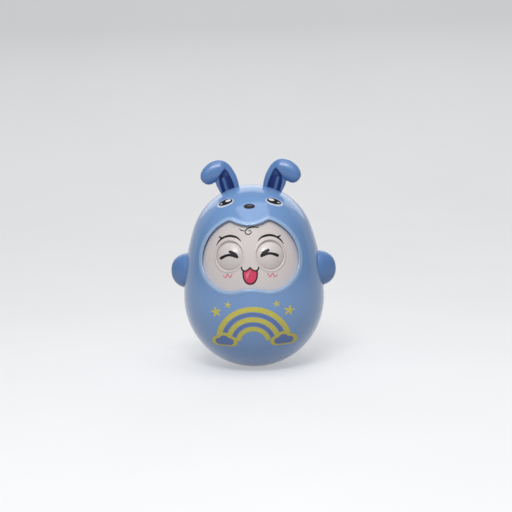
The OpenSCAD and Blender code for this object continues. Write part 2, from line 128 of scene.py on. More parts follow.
def arc(middle, r, start, stop, steps):
    a = np.radians(np.linspace(start, stop, steps + 1))
    return as_points(middle[0] + r * np.cos(a), middle[1] + r * np.sin(a))


def smooth_curve(points, count, steps=40):
    """A smooth curve through points (Catmull-Rom, evenly spread along its length)."""
    p = np.asarray(points, float)
    p = np.concatenate([[2 * p[0] - p[1]], p, [2 * p[-1] - p[-2]]])
    t = np.linspace(0, 1, steps, endpoint=False)[:, None]
    fine = []
    for a, b, c, d in zip(p, p[1:], p[2:], p[3:]):
        bend = 2 * a - 5 * b + 4 * c - d
        twist = 3 * b - a - 3 * c + d
        fine.append(0.5 * (2 * b + (c - a) * t + bend * t ** 2 + twist * t ** 3))
    fine = np.concatenate(fine + [p[-2:-1]])
    reach = np.concatenate([[0], np.cumsum(np.linalg.norm(np.diff(fine, axis=0), axis=1))])
    at = np.linspace(0, reach[-1], count)
    return as_points(*[np.interp(at, reach, row) for row in fine.T])


def closed_curve(points, count):
    return smooth_curve(points + points[:1], count)[:-1]


def outline_depth(x, z, outline):
    """How far points lie inside a closed outline; negative outside."""
    p = as_points(x, z)
    best = np.full(x.shape, FAR)
    inside = np.zeros(x.shape, bool)
    for s, e in zip(outline, np.roll(outline, -1, axis=0)):
        d = e - s
        t = np.clip(((p - s) @ d) / (d @ d), 0, 1)
        best = np.minimum(best, np.linalg.norm(p - s - t[..., None] * d, axis=-1))
        crossing = s[0] + (z - s[1]) / (e[1] - s[1] + TINY) * d[0]
        inside ^= ((s[1] > z) != (e[1] > z)) & (x < crossing)
    return np.where(inside, best, -best)


def face_outline(grow):
    """The opening's outline as rows of x and z, grown outwards."""
    cheek = (FACE_W / 2 - CHEEK_R, FACE_Z)
    temple = (FACE_W / 2 - TEMPLE_R, FACE_Z)
    chin_drop = CHEEK_R - CHIN_RISE
    chin_r = (cheek[0] ** 2 + chin_drop ** 2 - CHEEK_R ** 2) / (2 * CHIN_RISE)
    chin = (0, FACE_Z - chin_drop - chin_r)
    chin_turn = degrees(atan2(FACE_Z - chin[1], cheek[0]))
    fringe = (0, FACE_Z + TEMPLE_R - FRINGE_DIP + FRINGE_R)
    reach = hypot(temple[0], fringe[1] - FACE_Z)
    ring = TEMPLE_R - PEAK_R
    along = (ring ** 2 - (FRINGE_R + PEAK_R) ** 2 + reach ** 2) / (2 * reach)
    across = sqrt(ring ** 2 - along ** 2)
    way = (-temple[0] / reach, (fringe[1] - FACE_Z) / reach)
    peak = (temple[0] + along * way[0] + across * way[1], FACE_Z + along * way[1] - across * way[0])
    temple_turn = degrees(atan2(peak[1] - FACE_Z, peak[0] - temple[0]))
    fringe_turn = degrees(atan2(peak[1] - fringe[1], peak[0]))
    # Middle, radius, start, stop and steps of each arc
    arcs = (
        (chin, chin_r - grow, 90, chin_turn, 12),
        (cheek, CHEEK_R + grow, chin_turn - 180, 0, 48),
        (temple, TEMPLE_R + grow, 0, temple_turn, 44),
        (peak, PEAK_R + grow, temple_turn, fringe_turn + 180, 14),
        (fringe, FRINGE_R - grow, fringe_turn, -90, 18),
    )
    half = np.concatenate([arc(*values)[:-1] for values in arcs] + [arc(*arcs[-1])[-1:]])
    return np.concatenate([half, half[-2:0:-1] * [-1, 1]]).T


# Surfaces of the body

def join_z(inset):
    """Height at which the flank meets the crown."""
    return BOWL_Z + (FLANK_R - inset) * sin(FLANK_LEAN)


def egg_radius(z, inset=0.0):
    """Radius of the body at height z, a distance below the skin."""
    z = np.asarray(z, float)
    bowl = root((BODY_R - inset) ** 2 - (z - BOWL_Z) ** 2)
    flank = FLANK_X + root((FLANK_R - inset) ** 2 - (z - BOWL_Z) ** 2)
    crown = root((CROWN_R - inset) ** 2 - (z - CROWN_Z) ** 2)
    return np.where(z < BOWL_Z, bowl, np.where(z < join_z(inset), flank, crown))


def on_egg(x, z, lift=0.0):
    """Points on the front of the body at x, z, lifted off the skin."""
    x, z = np.asarray(x, float), np.asarray(z, float)
    return as_points(x, -root(egg_radius(z, -lift) ** 2 - x ** 2), z)


def on_plate(x, z, lift=0.0):
    return on_egg(x, z, lift - PLATE_INSET)


def egg_cast(direction, inset=0.0):
    """Where rays from the hub meet the body's surface."""
    d = direction / np.linalg.norm(direction, axis=-1, keepdims=True)
    out = np.hypot(d[..., 0], d[..., 1])
    up = d[..., 2]

    def reach(middle_r, middle_z, r):
        b = out * -middle_r + up * (HUB[2] - middle_z)
        c = middle_r ** 2 + (HUB[2] - middle_z) ** 2 - r ** 2
        return -b + root(b * b - c)

    bowl = reach(0, BOWL_Z, BODY_R - inset)
    flank = reach(FLANK_X, BOWL_Z, FLANK_R - inset)
    crown = reach(0, CROWN_Z, CROWN_R - inset)
    skin = np.where(HUB[2] + up * flank < BOWL_Z, bowl, flank)
    skin = np.where(HUB[2] + up * skin > join_z(inset), crown, skin)
    floor = np.where(up < FOOT_SLOPE, -HUB[2] / np.minimum(up, FOOT_SLOPE), FAR)
    return HUB + d * np.minimum(skin, floor)[..., None]


# Meshes

SHARP_ANGLE = radians(42)


def add_object(name, data):
    obj = bpy.data.objects.new(name, data)
    bpy.context.scene.collection.objects.link(obj)
    return obj


def smooth_shading(obj):
    obj.data.shade_smooth()
    obj.data.set_sharp_from_angle(angle=SHARP_ANGLE)


def face_outwards(mesh, weld=0.0):
    """Joins points nearer than a distance, and turns the faces outwards."""
    bm = bmesh.new()
    bm.from_mesh(mesh)
    if weld:
        bmesh.ops.remove_doubles(bm, verts=bm.verts, dist=weld * MM)
    bmesh.ops.recalc_face_normals(bm, faces=bm.faces)
    bm.to_mesh(mesh)
    bm.free()


def make(name, points, faces, finish, body, slot, replaced=None):
    """A smooth-shaded piece that rides a body and takes a finish."""
    mesh = bpy.data.meshes.new(name)
    mesh.from_pydata((points * MM).tolist(), [], faces)
    face_outwards(mesh)
    obj = add_object(name, mesh)
    smooth_shading(obj)
    mesh.materials.append(finish)
    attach(obj, body)
    if replaced:
        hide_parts(replaced)
    return obj


def loop_faces(rows, cols, closed_rows=False, closed_cols=True):
    """Quads between rings of cols points each, row after row."""
    faces = []
    for i in range(rows if closed_rows else rows - 1):
        a, b = i * cols, ((i + 1) % rows) * cols
        for k in range(cols if closed_cols else cols - 1):
            n = (k + 1) % cols
            faces.append((a + k, a + n, b + n, b + k))
    return faces


def capped_faces(rows, cols):
    """The same, with a face on the first and the last ring."""
    return loop_faces(rows, cols) + [list(range(cols)), list(range((rows - 1) * cols, rows * cols))]


def closed_rings(rings):
    """Points and faces of rings, the last one joined to the first."""
    return np.concatenate(rings), loop_faces(len(rings), len(rings[0]), closed_rows=True)


def lathe_x(profile, y, z, steps):
    """A closed ring profile of (x, r) turned about an axis along X."""
    turn = full_turn(steps)
    rings = [as_points(x, y + r * np.cos(turn), z + r * np.sin(turn)) for x, r in profile]
    return closed_rings(rings)


def together(*meshes):
    """Several (points, faces) as one."""
    points, faces, count = [], [], 0
    for p, f in meshes:
        points.append(p)
        faces += [tuple(i + count for i in face) for face in f]
        count += len(p)
    return np.concatenate(points), faces


def solid_rod(axis, place, r, start, stop, steps=96):
    """A rod for cutting, along X or Y through a place."""
    bm = bmesh.new()
    bmesh.ops.create_cone(
        bm, cap_ends=True, segments=steps, radius1=r * MM, radius2=r * MM, depth=(stop - start) * MM
    )
    turn = Matrix.Rotation(pi / 2, 4, "Y" if axis == "X" else "X")
    middle = Vector(place)
    middle["XY".index(axis)] = (start + stop) / 2
    bm.transform(Matrix.Translation(middle * MM) @ turn)
    mesh = bpy.data.meshes.new("cutter")
    bm.to_mesh(mesh)
    bm.free()
    return add_object("cutter", mesh)


def cut(obj, cutters):
    """Takes the cutters out of a piece, and deletes them."""
    for cutter in cutters:
        step = obj.modifiers.new("cut", "BOOLEAN")
        step.object = cutter
        step.operation = "DIFFERENCE"
        step.solver = "EXACT"
    bpy.context.view_layer.update()
    result = bpy.data.meshes.new_from_object(obj.evaluated_get(bpy.context.evaluated_depsgraph_get()))
    obj.modifiers.clear()
    old, obj.data = obj.data, result
    bpy.data.meshes.remove(old)
    for cutter in cutters:
        bpy.data.objects.remove(cutter)


def add_islands(obj, points, faces):
    bm = bmesh.new()
    bm.from_mesh(obj.data)
    added = [bm.verts.new(p) for p in points * MM]
    fresh = [bm.faces.new([added[i] for i in f]) for f in faces]
    bmesh.ops.recalc_face_normals(bm, faces=fresh)
    bm.to_mesh(obj.data)
    bm.free()
    smooth_shading(obj)


def mark_points(obj, name, values):
    """Keeps a number for each point, for a material to read."""
    mark = obj.data.attributes.new(name, "FLOAT", "POINT")
    mark.data.foreach_set("value", values.astype(np.float32).ravel())


# Materials

# Noises: scale per metre, detail and stretch; and the part of their range that is used
FLOW = (28, 3, (1, 1, 0.45))
GLOSS = (90, 5)
PEEL = (260, 1)
RIM_HIGHLIGHT_SCALE = 120
COVER = (650, 4)
TOOTH = (2400, 2)
PAINT_SCALE = 160
SPRAY = (900, 2)
METAL_DETAIL = 5
NOISE_RANGE = (0.3, 0.7)
COVER_RANGE = (0.35, 0.75)
# Bumps: depth in metres, and strength
PEEL_DEPTH = 0.0002
TOOTH_BUMP = (0.00005, 0.15)
LAY_DEPTH = 0.0001
SPRAY_BUMP = (0.0001, 0.1)
# Gloss, and the least and the most share of a roughness
PLASTIC_IOR = 1.49
COAT_ROUGHNESS = 0.04
INK_IOR = 1.36
INK_ROUGHNESS = 0.5
PAINT_ROUGHNESS = 0.5
PAINT_SPECULAR = 0.2
GLOSS_SHARES = (0.94, 1.07)
INK_SHARES = (0.8, 1.3)
METAL_SHARES = (0.75, 1.3)
# Sockets of a Mix node that blends colours
MIX_FIRST, MIX_SECOND, MIX_RESULT = 6, 7, 2


def feed(tree, node, *numbered, **named):
    """Sets a node's sockets to constants, or links them to outputs."""
    for key, value in (*numbered, *named.items()):
        socket = node.inputs[key if isinstance(key, int) else key.replace("_", " ")]
        if isinstance(value, bpy.types.NodeSocket):
            tree.links.new(value, socket)
        else:
            socket.default_value = value
    return node


def add_node(tree, kind, *numbered, **named):
    return feed(tree, tree.nodes.new("ShaderNode" + kind), *numbered, **named)


def material(name, roughness, **inputs):
    mat = bpy.data.materials.new(name)
    mat.use_nodes = True
    tree = mat.node_tree
    return mat, tree, feed(tree, tree.nodes["Principled BSDF"], Roughness=roughness, **inputs)


def linear(colour):
    """A colour given as 0 to 255 sRGB, for a shader."""
    c = np.divide(colour, 255)
    return (*np.where(c <= 0.04045, c / 12.92, ((c + 0.055) / 1.055) ** 2.4), 1)


def noise(tree, scale, detail=4.0, stretch=(1, 1, 1)):
    where = add_node(tree, "TexCoord").outputs["Object"]
    place = add_node(tree, "Mapping", Vector=where, Scale=stretch).outputs["Vector"]
    return add_node(tree, "TexNoise", Vector=place, Scale=scale, Detail=detail).outputs["Fac"]


def two_tone(tree, factor, low, high, span=NOISE_RANGE):
    """A colour that goes from low to high as a noise does."""
    ramp = add_node(tree, "ValToRGB", Fac=factor)
    for element, position, colour in zip(ramp.color_ramp.elements, span, (low, high)):
        element.position = position
        element.color = colour
    return ramp.outputs["Color"]


def bump(tree, factor, distance, strength):
    return add_node(tree, "Bump", Height=factor, Distance=distance, Strength=strength).outputs["Normal"]


def surface(name, low, high, roughness, shares, noises, relief, span=NOISE_RANGE, **inputs):
    """A material whose colour, roughness and height each follow a noise."""
    mat, tree, shader = material(name, roughness, **inputs)
    colour, gloss, height = [noise(tree, *values) for values in noises]
    rough = add_node(tree, "MapRange", Value=gloss, From_Min=NOISE_RANGE[0], From_Max=NOISE_RANGE[1])
    feed(tree, rough, To_Min=roughness * shares[0], To_Max=roughness * shares[1])
    feed(
        tree, shader, Base_Color=two_tone(tree, colour, linear(low), linear(high), span),
        Roughness=rough.outputs["Result"], Normal=bump(tree, height, *relief),
    )
    return mat


def plastic(name, low, high, roughness, coat=0.0, peel=0.02):
    """Gloss plastic with faint flow marks, uneven gloss and orange peel."""
    return surface(
        name, low, high, roughness, GLOSS_SHARES, (FLOW, GLOSS, PEEL), (PEEL_DEPTH, peel),
        IOR=PLASTIC_IOR, Coat_Weight=coat, Coat_Roughness=COAT_ROUGHNESS,
    )


def ink(name, low, high):
    """Pad-printed ink: slightly uneven cover and a fine tooth."""
    noises = (COVER, COVER, TOOTH)
    return surface(name, low, high, INK_ROUGHNESS, INK_SHARES, noises, TOOTH_BUMP, COVER_RANGE, IOR=INK_IOR)


def metal(name, low, high, roughness, grain, stretch=(1, 1, 1), depth=0.2):
    """Metal with the lay of its grain in its colour, gloss and surface."""
    noises = [(grain, METAL_DETAIL, stretch)] * 3
    return surface(name, low, high, roughness, METAL_SHARES, noises, (LAY_DEPTH, depth), Metallic=1.0)


def marked(tree, attribute):
    mark = add_node(tree, "Attribute")
    mark.attribute_name = attribute
    return mark.outputs["Fac"]


def mix_shaders(tree, factor, first, second):
    """Blends two shaders into a material's surface."""
    blend = add_node(tree, "MixShader", (1, first), (2, second), Fac=factor)
    feed(tree, tree.nodes["Material Output"], Surface=blend.outputs["Shader"])


def copied(plain, name):
    mat = plain.copy()
    mat.name = name
    return mat, mat.node_tree, mat.node_tree.nodes["Principled BSDF"]


def paler_where(plain, name, attribute, low, high):
    """A plastic that takes a second colour where a mesh's attribute marks it."""
    mat, tree, shader = copied(plain, name)
    first = shader.inputs["Base Color"].links[0].from_socket
    second = two_tone(tree, noise(tree, RIM_HIGHLIGHT_SCALE), linear(low), linear(high))
    blend = add_node(tree, "Mix")
    blend.data_type = "RGBA"
    feed(tree, blend, (MIX_FIRST, first), (MIX_SECOND, second), Factor=marked(tree, attribute))
    feed(tree, shader, Base_Color=blend.outputs[MIX_RESULT])
    return mat


def paint_and_shade_where(plain, name, attribute, low, high):
    """A plastic with a satin dark coat where a mesh's attribute marks it: part paint, part painted shade.
    """
    mat, tree, bare = copied(plain, name)
    paint_and_shade = add_node(
        tree, "BsdfPrincipled", Roughness=PAINT_ROUGHNESS, Specular_IOR_Level=PAINT_SPECULAR,
        Base_Color=two_tone(tree, noise(tree, PAINT_SCALE), linear(low), linear(high)),
        Normal=bump(tree, noise(tree, *SPRAY), *SPRAY_BUMP),
    )
    mix_shaders(tree, marked(tree, attribute), bare.outputs["BSDF"], paint_and_shade.outputs["BSDF"])
    return mat


SHELL_BLUE = plastic("shell_blue", (116, 154, 205), (121, 159, 210), 0.19, coat=0.4)
EAR_BLUE = plastic("ear_blue", (93, 131, 186), (99, 137, 192), 0.34, coat=0.12, peel=0.008)
# The bead round the face opening: a painted highlight in a paler blue
RIM_HIGHLIGHT_BLUE = paler_where(SHELL_BLUE, "shell_blue_rim_highlight", "rim", (164, 196, 232), (170, 201, 236))
# The ear's hollow: dark navy that is part paint and part painted shade in the recess
EAR_PAINT_AND_SHADE = paint_and_shade_where(EAR_BLUE, "ear_paint_and_shade", "hollow", (27, 44, 104), (32, 50, 112))
FACE_WHITE = plastic("face_white", (214, 205, 203), (219, 210, 208), 0.48)
EYE_WHITE = plastic("eye_white", (215, 207, 205), (220, 212, 210), 0.3, coat=0.1)
INNER_PLASTIC = plastic("inner_plastic", (222, 222, 217), (229, 229, 225), 0.45)
STEEL = metal("zinc_steel", (176, 178, 182), (205, 207, 211), 0.32, 700, (1, 8, 1))
CHIME_STEEL = metal("bright_steel", (200, 203, 207), (222, 224, 228), 0.14, 500, (1, 1, 6), 0.08)
IRON = metal("cast_iron", (66, 66, 69), (92, 92, 96), 0.62, 900, depth=0.8)
BLACK_INK = ink("black_ink", (22, 21, 24), (34, 33, 37))
MAROON_INK = ink("maroon_ink", (62, 24, 38), (76, 32, 46))
PINK_INK = ink("pink_ink", (216, 104, 126), (226, 124, 143))
TONGUE_INK = ink("tongue_ink", (213, 66, 98), (222, 78, 110))
SHINE_INK = ink("shine_ink", (236, 150, 164), (243, 172, 184))
WHITE_INK = ink("white_ink", (226, 226, 230), (236, 236, 240))
PALE_INK = ink("pale_blue_ink", (194, 206, 226), (203, 214, 232))
GREY_INK = ink("grey_ink", (92, 94, 104), (108, 110, 120))
YELLOW_INK = ink("yellow_ink", (208, 198, 92), (216, 206, 104))
BAND_INK = ink("band_blue_ink", (106, 128, 182), (113, 136, 189))


# Shells

# The seam: its rounded edge, half its gap, and a direction just short of it
SEAM_ROUND = 0.3
SEAM_GAP = 0.01
AT_SEAM = pi / 2 - 0.0002
# Where the rings of the rear shell start
REAR_POLE = radians(1.2)
# The bead round the opening, from the wall's inner edge: growth of the outline and lift off the skin
BEAD = (
    (0, -WALL), (0, -1.5), (0, -0.8), (0, -0.2), (0.03, 0.18), (0.14, 0.4), (0.34, 0.57), (0.62, 0.67),
    (0.95, 0.7), (1.28, 0.66), (1.6, 0.55), (1.92, 0.38), (2.25, 0.22), (2.6, 0.1), (3.0, 0.03), (3.5, 0),
)
# A painted highlight on the bead, a paler blue: the line it follows, its fade and its strength
RIM_HIGHLIGHT_GROW = 1.1
RIM_HIGHLIGHT_FADE = (0.6, 1.2)
RIM_HIGHLIGHT_SHARE = 0.7
# Arm pockets: floor, hole for the peg, and how far under the skin the cup's wall ends
POCKET_FLOOR = float(egg_radius(ARM_Z + POCKET_R)) - POCKET_SINK
PEG_HOLE_R = 4.05
CUP_TOP = 1.2
# Screw wells in the back
WELL_R = 3.6
WELL_WALL = 1.6
WELL_FLOOR = 10
WELL_FLOOR_T = 2
WELL_HOLE_R = 1.65
WELL_TOP = 1.0
WELL_STEPS = 64
CUT_PAST = 5
WELLS = [(hand * x, z) for x, z in ((18, 114.98), (33, 39.5)) for hand in (LEFT, RIGHT)]


def turned(theta, phi, side):
    """Directions at an angle phi from the Y axis, on the front or rear side."""
    return as_points(np.sin(phi) * np.cos(theta), side * np.cos(phi), np.sin(phi) * np.sin(theta))


def angles(points, side):
    d = points - HUB
    return np.arctan2(d[:, 2], d[:, 0]), np.arctan2(np.hypot(d[:, 0], d[:, 2]), side * d[:, 1])


def seam_rings(theta, side, steps=3):
    """The rounded edge at the seam, from the skin to the flat."""
    reach = np.linalg.norm(egg_cast(turned(theta, pi / 2, side)) - HUB, axis=1)
    rings = []
    for step in range(steps + 1):
        a = pi / 2 * step / steps
        away = SEAM_ROUND * (1 - sin(a)) + SEAM_GAP
        phi = pi / 2 - np.arcsin(away / reach)
        rings.append(egg_cast(turned(theta, phi, side), SEAM_ROUND * (1 - cos(a))))
    return rings


def sweep(start, stop, side, inset, steps):
    """Rings between two loops of angles (theta, phi), without the ends."""
    rings = []
    for t in np.linspace(0, 1, steps + 1)[1:-1]:
        theta, phi = [a + (b - a) * t for a, b in zip(start, stop)]
        rings.append(egg_cast(turned(theta, phi, side), inset))
    return rings


def cup_profile(hole_r, r, wall, floor, floor_t):
    """Radius and place of a cup's rings, with None where it meets the skin."""
    outer_r = r + wall
    under = floor - floor_t
    return (hole_r, floor), (hole_r, under), (outer_r, under), (outer_r, None), (r, None), (r, floor)


def half_cup(side, cols=41):
    """One shell's half of both arm pockets, as closed islands."""
    turn = np.linspace(-pi / 2, pi / 2, cols)
    profile = cup_profile(PEG_HOLE_R, POCKET_R, WALL, POCKET_FLOOR, WALL)
    rows = len(profile)
    faces = loop_faces(rows, cols, closed_rows=True, closed_cols=False)
    faces.append([i * cols for i in range(rows)])
    faces.append([(i + 1) * cols - 1 for i in range(rows)])
    cups = []
    for hand in (LEFT, RIGHT):
        rings = []
        for r, x in profile:
            y = side * r * np.cos(turn)
            z = ARM_Z + r * np.sin(turn)
            if x is None:
                x = root(egg_radius(z, CUP_TOP) ** 2 - y ** 2)
            rings.append(as_points(hand * x, y, z))
        cups.append((np.concatenate(rings), faces))
    return together(*cups)


def pocket_cutters():
    ends = ((POCKET_FLOOR, 2 * POCKET_FLOOR), (-2 * POCKET_FLOOR, -POCKET_FLOOR))
    return [solid_rod("X", (0, 0, ARM_Z), POCKET_R, *pair) for pair in ends]


def front_shell(steps=46, inner_steps=14):
    rings = [on_egg(*face_outline(grow), lift) for grow, lift in BEAD]
    theta, phi = angles(rings[-1], FRONT)
    edge = seam_rings(theta, FRONT)
    phi_end = angles(edge[0], FRONT)[1]
    rings += sweep((theta, phi), (theta, phi_end), FRONT, 0, steps) + edge
    inner = egg_cast(turned(theta, AT_SEAM, FRONT), WALL)
    phi_start = angles(inner, FRONT)[1]
    theta_in, phi_in = angles(rings[0], FRONT)
    theta_in = theta + (theta_in - theta + pi) % (2 * pi) - pi
    rings += [inner] + sweep((theta, phi_start), (theta_in, phi_in), FRONT, WALL, inner_steps)
    points, faces = closed_rings(rings)
    shell = make("front_shell_skin", points, faces, RIM_HIGHLIGHT_BLUE, "body", "shell_blue", "front_shell")
    cut(shell, pocket_cutters())
    add_islands(shell, *half_cup(FRONT))
    mark_rim_highlight(shell)


def mark_rim_highlight(shell):
    """Marks the bead for a painted highlight, a paler blue along it."""
    x, y, z = np.array([vertex.co for vertex in shell.data.vertices], np.float32).T / MM
    away = np.abs(outline_depth(x, z, face_outline(RIM_HIGHLIGHT_GROW).T))
    mark_points(shell, "rim", RIM_HIGHLIGHT_SHARE * (1 - fade(away, *RIM_HIGHLIGHT_FADE)) * (y < -WALL))


def rear_shell(cols=256, steps=64, inner_steps=20):
    theta = full_turn(cols)
    edge = seam_rings(theta, REAR)
    phi_end = angles(edge[0], REAR)[1]
    rings = [egg_cast(turned(theta, REAR_POLE, REAR))]
    rings += sweep((theta, REAR_POLE), (theta, phi_end), REAR, 0, steps) + edge
    rings.append(egg_cast(turned(theta, AT_SEAM, REAR), WALL))
    rings += sweep((theta, pi / 2), (theta, REAR_POLE), REAR, WALL, inner_steps)
    rings.append(egg_cast(turned(theta, REAR_POLE, REAR), WALL))
    points = np.concatenate(rings)
    faces = capped_faces(len(rings), cols)
    shell = make("rear_shell_skin", points, faces, SHELL_BLUE, "body", "shell_blue", "rear_shell")
    cutters = pocket_cutters()
    for x, z in WELLS:
        cutters.append(solid_rod("Y", (x, 0, z), WELL_R, WELL_FLOOR, BODY_R + CUT_PAST, WELL_STEPS))
    cut(shell, cutters)
    add_islands(shell, *together(half_cup(REAR), *[well_tube(x, z) for x, z in WELLS]))


def well_tube(x, z):
    """One screw well's tube, from under the skin to its floor."""
    turn = full_turn(WELL_STEPS)
    rings = []
    for r, y in cup_profile(WELL_HOLE_R, WELL_R, WELL_WALL, WELL_FLOOR, WELL_FLOOR_T):
        px, pz = x + r * np.cos(turn), z + r * np.sin(turn)
        if y is None:
            y = root(egg_radius(pz, WELL_TOP) ** 2 - px ** 2)
        rings.append(as_points(px, y, pz))
    return closed_rings(rings)


# Face plate

# The right window's middle and frame, and the middle of the eyeball behind it
WINDOW_Z = FACE_Z + EYE_RISE
WINDOW = on_plate(EYE_SPACING / 2, WINDOW_Z)
WINDOW_PITCH = asin((WINDOW_Z - BOWL_Z) / (FLANK_R - PLATE_INSET))
WINDOW_YAW = atan2(WINDOW[0], -WINDOW[1])
WINDOW_DIR = np.array([
    cos(WINDOW_PITCH) * sin(WINDOW_YAW), -cos(WINDOW_PITCH) * cos(WINDOW_YAW), sin(WINDOW_PITCH)
])
WINDOW_U = np.array([cos(WINDOW_YAW), sin(WINDOW_YAW), 0])
WINDOW_V = np.cross(WINDOW_DIR, WINDOW_U)
EYE_DROP = EYE_R - EYE_BULGE
EYE = WINDOW - EYE_DROP * WINDOW_DIR
EYE_ROOM = EYE_R + ROLL_PLAY
# The window's bevel, and its edge next to the eyeball
WINDOW_R = 10.6
BEVEL_SLOPE = 0.625
EDGE_R = 9.83
# The lip round a window: distance out from the bevel and lift off the plate
LIP = (
    (0, 0.06), (0.12, 0.28), (0.3, 0.44), (0.54, 0.52), (0.8, 0.47), (1.06, 0.32), (1.34, 0.16),
    (1.65, 0.05), (2.1, 0),
)
# Shares of the way from the back edge to the window's edge, and from there up the bevel
EDGE_SHARES = (0, 0.35, 0.7, 1)
BEVEL_SHARES = (0.4, 0.8)
PLATE_COLS = 224
# Depths between which the plate is searched for
SEARCH = (-4.0, 12.0)
# How near counts as on the middle plane, as one point, and as on an edge
MIDLINE = 1e-4
WELD = 0.002
EDGE_SLACK = 1e-9


def window_point(reach, turn, depth):
    """Points in the window's frame: out from its middle, round it, and behind it."""
    way = np.multiply.outer(np.cos(turn), WINDOW_U) + np.multiply.outer(np.sin(turn), WINDOW_V)
    return WINDOW + reach[:, None] * way - depth[:, None] * WINDOW_DIR


def plate_depth(reach, turn, lift, rounds=40):
    """How deep the plate's curved surface lies in the window's frame."""
    near, deep = [np.full(turn.shape, depth) for depth in SEARCH]
    for _ in range(rounds):
        middle = (near + deep) / 2
        p = window_point(reach, turn, middle)
        outside = np.hypot(p[:, 0], p[:, 1]) > egg_radius(p[:, 2], PLATE_INSET - lift)
        near, deep = np.where(outside, middle, near), np.where(outside, deep, middle)
    return near


def eye_depth(reach):
    """Depth of the room that the eyeball rolls in."""
    return EYE_DROP - np.sqrt(EYE_ROOM ** 2 - reach ** 2)


def ray_reach(start, way, edge):
    """How far a ray goes from a point to a closed outline."""
    dx, dz = way
    ax, az = (edge - start).T
    ex, ez = (np.roll(edge, -1, axis=0) - edge).T
    cross = dx * ez - dz * ex
    cross = np.where(np.abs(cross) < TINY, TINY, cross)
    t = (ax * ez - az * ex) / cross
    s = (ax * dz - az * dx) / cross
    return t[(t > 0) & (s >= -EDGE_SLACK) & (s <= 1 + EDGE_SLACK)].min()


def spread_out(ring, lift, shares):
    """Rings on the plate from one round the window to the outer edge."""
    bound = face_outline(PLATE_LAP).T
    bound = bound[bound[:, 0] >= -MIDLINE]
    start = WINDOW[[0, 2]]
    ways = ring[:, [0, 2]] - start
    stop = np.array([ray_reach(start, way, bound) for way in ways])
    rings = []
    for t in shares:
        x, z = (start + ways * (1 + (stop - 1) * t)[:, None]).T
        rings.append(on_plate(np.where(np.abs(x) < MIDLINE, 0, x), z, lift))
    return rings


def plate_half(steps=30, back_steps=8, rounds=25):
    """Rings of the plate's right half: window edge, lip, front and back."""
    turn = full_turn(PLATE_COLS)
    edge = np.full(PLATE_COLS, EDGE_R)
    shoulder = back_edge = np.full(PLATE_COLS, WINDOW_R)
    for _ in range(rounds):
        shoulder = WINDOW_R - BEVEL_SLOPE * plate_depth(shoulder, turn, 0)
        back_edge = np.sqrt(EYE_ROOM ** 2 - (EYE_DROP - plate_depth(back_edge, turn, -PLATE_T)) ** 2)
    rings = []
    for t in EDGE_SHARES:
        reach = back_edge + (edge - back_edge) * t
        rings.append(window_point(reach, turn, eye_depth(reach)))
    edge_depth = eye_depth(edge)
    shoulder_depth = plate_depth(shoulder, turn, 0)
    for t in BEVEL_SHARES:
        reach = edge + (shoulder - edge) * t
        rings.append(window_point(reach, turn, edge_depth + (shoulder_depth - edge_depth) * t))
    for out, lift in LIP:
        rings.append(window_point(shoulder + out, turn, plate_depth(shoulder + out, turn, lift)))
    front = spread_out(rings[-1], 0, np.linspace(0, 1, steps + 1)[1:])
    back = spread_out(rings[0], -PLATE_T, np.linspace(1, 0, back_steps + 1)[:-1])
    return rings + front + back


def face_plate():
    points, faces = closed_rings(plate_half())
    on_line = np.abs(points[:, 0]) < MIDLINE
    faces = [f for f in faces if not all(on_line[i] for i in f)]
    faces += [tuple(i + len(points) for i in reversed(f)) for f in faces]
    both = np.concatenate([points, points * [-1, 1, 1]])
    plate = make("face_plate_skin", both, faces, FACE_WHITE, "body", "face_white", "face_plate")
    face_outwards(plate.data, WELD)
    smooth_shading(plate)


# Eyeballs: gap to the middle plane, cut off the outer end, and walls
BALL_GAP = 2.3
BALL_CUT = 1.7
BALL_WALL = 2
BALL_HUB_WALL = 1.8
BALL_SNUG = 0.02


def eyeball(side, hand, steps=72, inner_steps=24, cols=144):
    outer, inner = EYE_R - BALL_CUT, BALL_GAP - EYE[0]
    outer_wall = outer - BALL_WALL
    hollow = EYE_R - BALL_WALL
    hub = AXLE_R + BALL_HUB_WALL
    bore = AXLE_R + BALL_SNUG
    skin = np.linspace(asin(inner / EYE_R), asin(outer / EYE_R), steps)
    bowl = np.linspace(asin(outer_wall / hollow), asin(inner / hollow), inner_steps)
    profile = [(inner, hollow * cos(asin(inner / hollow)))]
    profile += [(EYE_R * sin(a), EYE_R * cos(a)) for a in skin]
    profile += [(outer, bore), (inner, bore), (inner, hub), (outer_wall, hub)]
    profile += [(hollow * sin(a), hollow * cos(a)) for a in bowl[:-1]]
    points, faces = lathe_x([(side * (EYE[0] + x), r) for x, r in profile], EYE[1], EYE[2], cols)
    make(f"eyeball_{hand}", points, faces, EYE_WHITE, "eyes", "eye_white", f"eye_{hand}")


# Arms: how blunt and flat the paddle is, its peg and the flange that holds it
ARM_BLUNTNESS = 2.2
ARM_FLATTENING = 0.4
PEG_R = 4
PEG_BORE_R = 1
PEG_ROOT = 0.5
FLANGE_R = 6.5
FLANGE_T = 2


